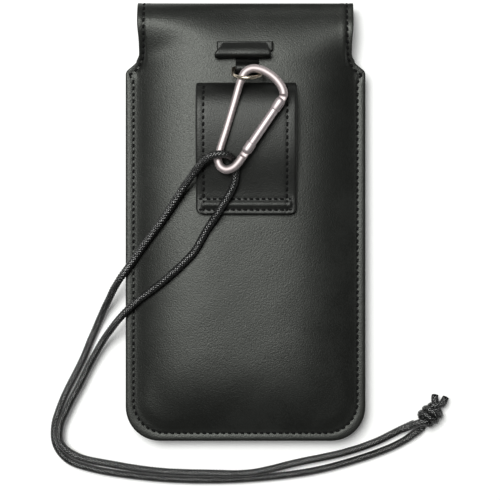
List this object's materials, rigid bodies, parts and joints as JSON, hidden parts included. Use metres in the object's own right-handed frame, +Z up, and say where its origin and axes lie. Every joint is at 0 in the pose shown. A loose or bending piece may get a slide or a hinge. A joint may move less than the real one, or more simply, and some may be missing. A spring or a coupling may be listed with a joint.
{
  "type": "belt pouch with lanyard",
  "caption": "Moulded black leather belt pouch with an over-the-top flap, sewn belt loop, ring, spring-gate snap hook and knotted braided lanyard cord.",
  "frame": {"origin": "middle of the pouch's footprint on the surface it lies on, flap side down", "axes": "+Y along the pouch towards the fold of the flap, +X across it, +Z up through the belt loop"},
  "size_m": [0.1799, 0.2143, 0.0361],
  "materials": {
    "leather": "smooth satin black leather with a fine grain",
    "strap_leather": "smooth black strap leather, edges painted",
    "lining": "brushed black lining",
    "ribbon": "woven black ribbon",
    "thread": "black bonded thread",
    "cord": "braided black cord with pale flecks",
    "ring_wire": "warm plated wire",
    "hook_metal": "bright satin silver",
    "pin_steel": "bright steel",
    "plunger_brass": "turned brass",
    "magnet_plate": "nickel plated"
  },
  "bodies": {
    "case": {"back_panel": "leather", "back_lining": "lining", "front_panel": "leather", "front_lining": "lining", "front_keeper": "magnet_plate", "body_seam_thread_back": "thread", "body_seam_thread_front": "thread", "neck_thread_left": "thread", "neck_thread_right": "thread", "belt_loop_strap": "leather", "belt_loop_liner": "lining", "belt_loop_thread_left": "thread", "belt_loop_thread_right": "thread", "belt_loop_bar_thread_upper": "thread", "belt_loop_bar_thread_lower": "thread", "ring_tab": "strap_leather", "pull_strap_ribbon": "ribbon"},
    "flap_fold": {"flap_spine": "leather", "flap_spine_lining": "lining"},
    "flap": {"flap_panel": "leather", "flap_lining": "lining", "flap_magnet": "magnet_plate", "flap_seam_thread": "thread"},
    "pull_tab": {"pull_tab_fold": "strap_leather", "pull_tab_under_ply": "strap_leather"},
    "ring": {"d_ring": "ring_wire"},
    "snap_hook": {"snap_hook_body": "hook_metal", "gate_pivot_pin": "pin_steel", "gate_latch_pin": "pin_steel", "lanyard_cord": "cord", "cord_knot": "cord", "cord_tail_long": "cord", "cord_tail_short": "cord"},
    "gate": {"gate_tube": "hook_metal", "gate_plunger": "plunger_brass", "gate_spring": "pin_steel"}
  },
  "joints": [
    {"name": "fold_hinge", "type": "hinge", "parent": "case", "child": "flap_fold", "pos_m": [0, 0.0968, 0.018], "axis": [1, 0, 0], "range_deg": [0, 90]},
    {"name": "flap_hinge", "type": "hinge", "parent": "flap_fold", "child": "flap", "pos_m": [0, 0.0968, 0], "axis": [1, 0, 0], "range_deg": [0, 90]},
    {"name": "pull_tab_lift", "type": "hinge", "parent": "case", "child": "pull_tab", "pos_m": [0, 0.0724, 0.01825], "axis": [1, 0, 0], "range_deg": [0, 30]},
    {"name": "ring_swing", "type": "hinge", "parent": "case", "child": "ring", "pos_m": [0.0008, 0.067, 0.0206], "axis": [-1, 0, 0], "range_deg": [0, 45]},
    {"name": "hook_swing", "type": "hinge", "parent": "ring", "child": "snap_hook", "pos_m": [0, 0.0634, 0.0294], "axis": [-1, 0, 0], "range_deg": [0, 4.5]},
    {"name": "gate_open", "type": "hinge", "parent": "snap_hook", "child": "gate", "pos_m": [0.0006, 0.0303, 0.03204], "axis": [-0.2418, 0.0774, 0.9672], "range_deg": [0, 24], "stiffness_Nm_per_rad": 0.01, "springref_deg": -20.05}
  ],
  "couplings": [
    {"joint": "flap_hinge", "follows": "fold_hinge", "ratio": 1}
  ]
}
